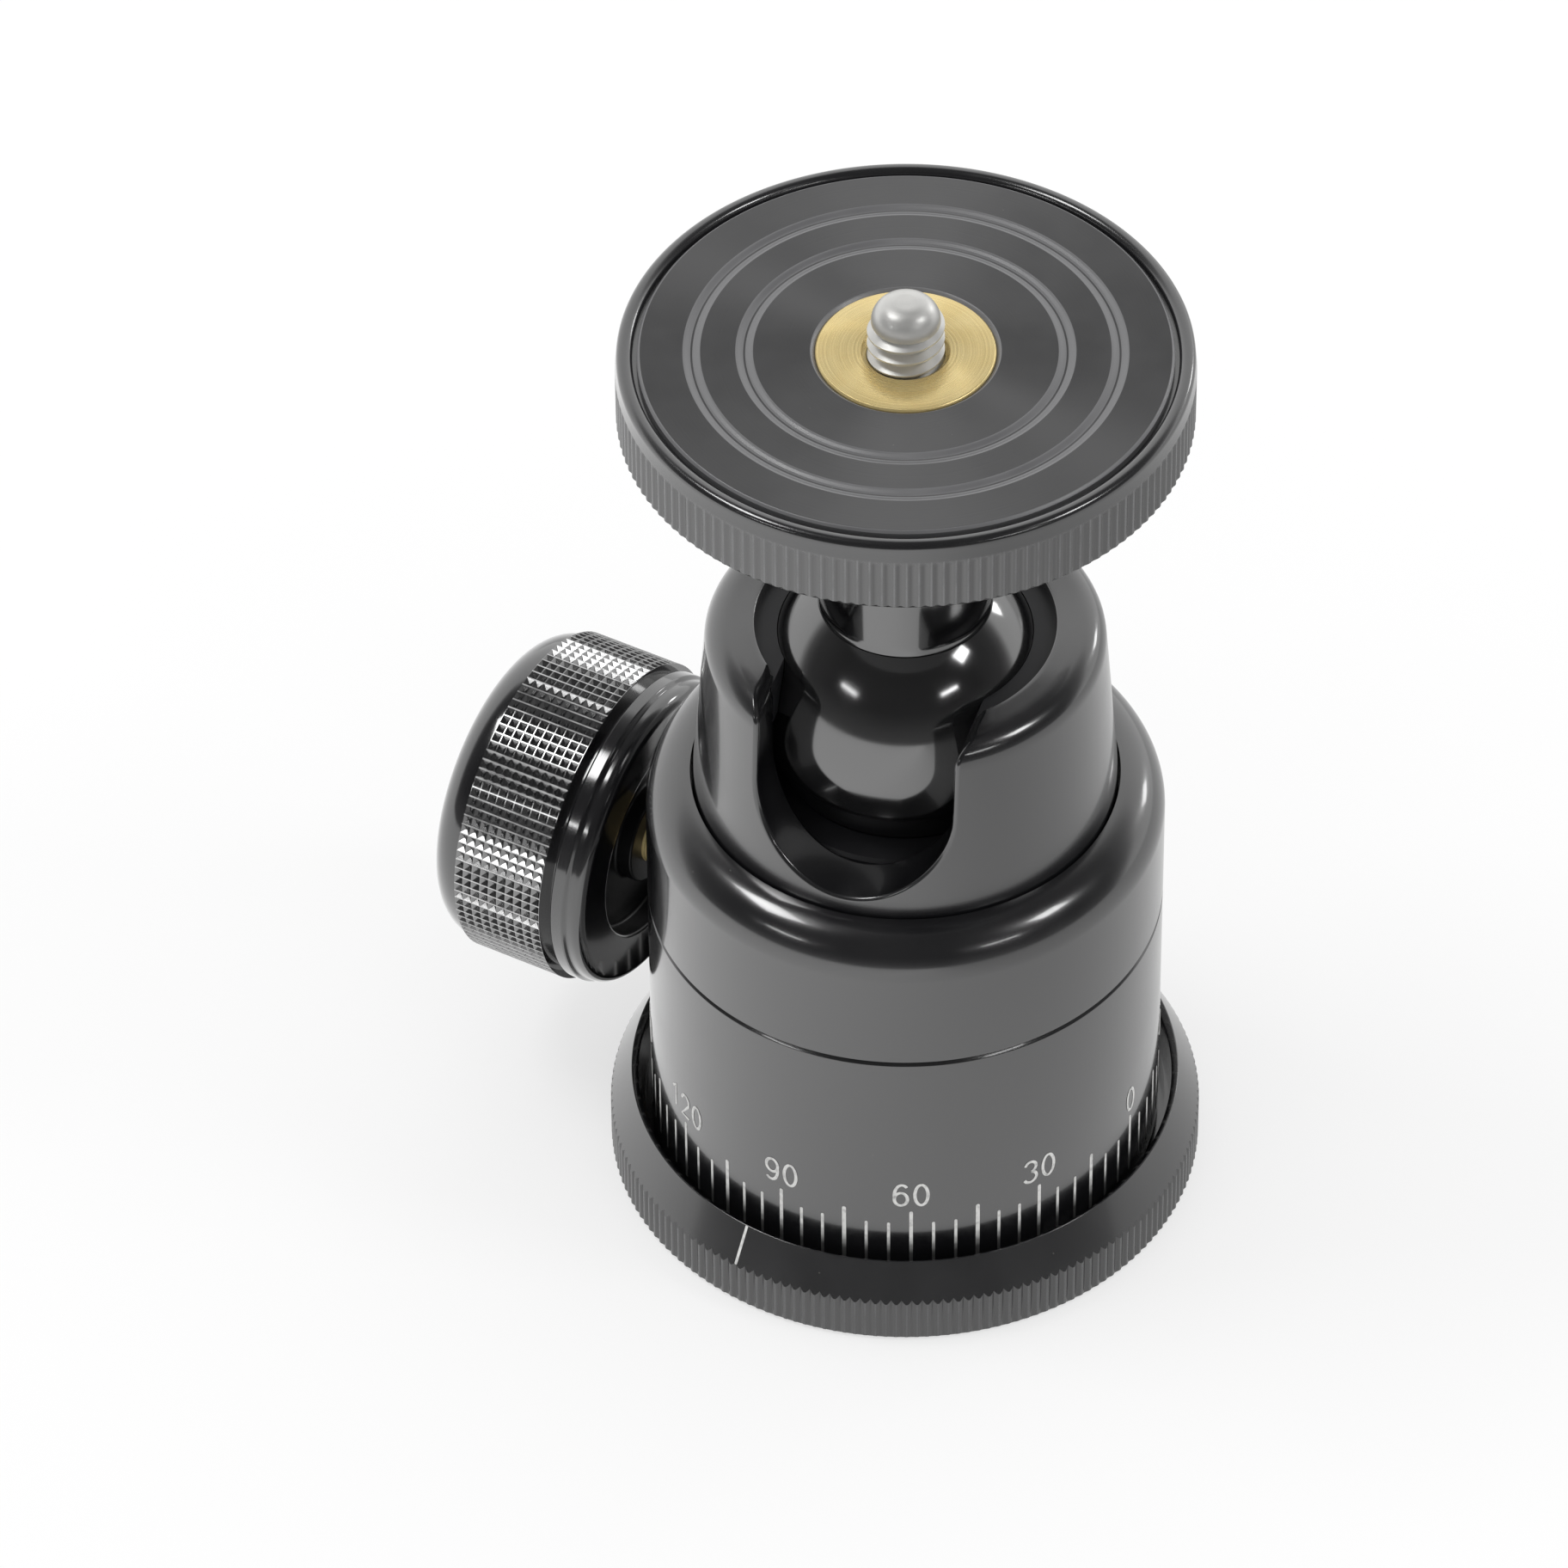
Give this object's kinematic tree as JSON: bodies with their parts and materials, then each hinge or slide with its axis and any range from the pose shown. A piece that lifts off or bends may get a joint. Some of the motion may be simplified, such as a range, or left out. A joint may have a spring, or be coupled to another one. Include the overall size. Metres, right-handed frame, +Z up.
{
  "type": "tripod ball head",
  "caption": "Small tripod ball head: knurled round camera plate on a polished neck and ball, slotted tapered cup, panning drum with a degree scale, one side locking knob and a knurled base.",
  "frame": {"origin": "centre of the base's underside, at the mouth of the tripod thread", "axes": "+Z up along the neck and out of the camera screw, -Y through the middle of the neck slot, the locking knob 168 degrees anticlockwise from +X"},
  "size_m": [0.0668, 0.0512, 0.0956],
  "materials": {
    "black_anodised": "black anodised, satin on the walls",
    "polished_black": "black anodised and polished",
    "steel": "turned stainless steel",
    "brass": "turned brass",
    "nylon": "moulded low-friction plastic"
  },
  "bodies": {
    "base": {"base_ring": "black_anodised", "pan_spindle": "steel", "base_screws": "steel", "lower_washer": "nylon", "spindle_nut": "steel"},
    "body": {"scale_drum": "black_anodised", "upper_washer": "nylon", "brake_shoe": "brass", "body_collar": "black_anodised", "ball_housing": "black_anodised", "upper_seat": "nylon"},
    "pin": {"lock_pin": "steel"},
    "seat": {"seat_plunger": "brass", "disc_springs": "steel", "ball_seat": "nylon"},
    "knob": {"knob_grip": "black_anodised", "knob_shaft": "brass", "knob_screw": "steel", "knob_cap": "black_anodised"},
    "ball": {"ball": "polished_black"},
    "plate": {"neck": "polished_black", "neck_stud": "steel", "camera_plate": "black_anodised", "plate_pins": "steel", "platform_disc": "black_anodised", "brass_insert": "brass", "camera_screw": "steel"}
  },
  "joints": [
    {"name": "pan", "type": "hinge", "parent": "base", "child": "body", "pos_m": [0, 0, 0], "axis": [0, 0, 1], "continuous": true},
    {"name": "screw_travel", "type": "slide", "parent": "body", "child": "pin", "axis": [-0.9781, 0.2079, 0], "range_m": [0, 0.0008]},
    {"name": "knob_turn", "type": "hinge", "parent": "pin", "child": "knob", "pos_m": [0, 0, 0.024], "axis": [-0.9781, 0.2079, 0], "range_deg": [0, 361]},
    {"name": "seat_lift", "type": "slide", "parent": "body", "child": "seat", "axis": [0, 0, 1], "range_m": [-0.00047, 0]},
    {"name": "ball_tilt", "type": "hinge", "parent": "body", "child": "ball", "pos_m": [0, 0, 0.0525], "axis": [1, 0, 0], "range_deg": [-20, 90]},
    {"name": "plate_spin", "type": "hinge", "parent": "ball", "child": "plate", "pos_m": [0, 0, 0.0525], "axis": [0, 0, 1], "continuous": true}
  ],
  "couplings": [
    {"joint": "knob_turn", "follows": "screw_travel", "rad_per_m": 7854},
    {"joint": "seat_lift", "follows": "screw_travel", "ratio": -0.57735}
  ]
}
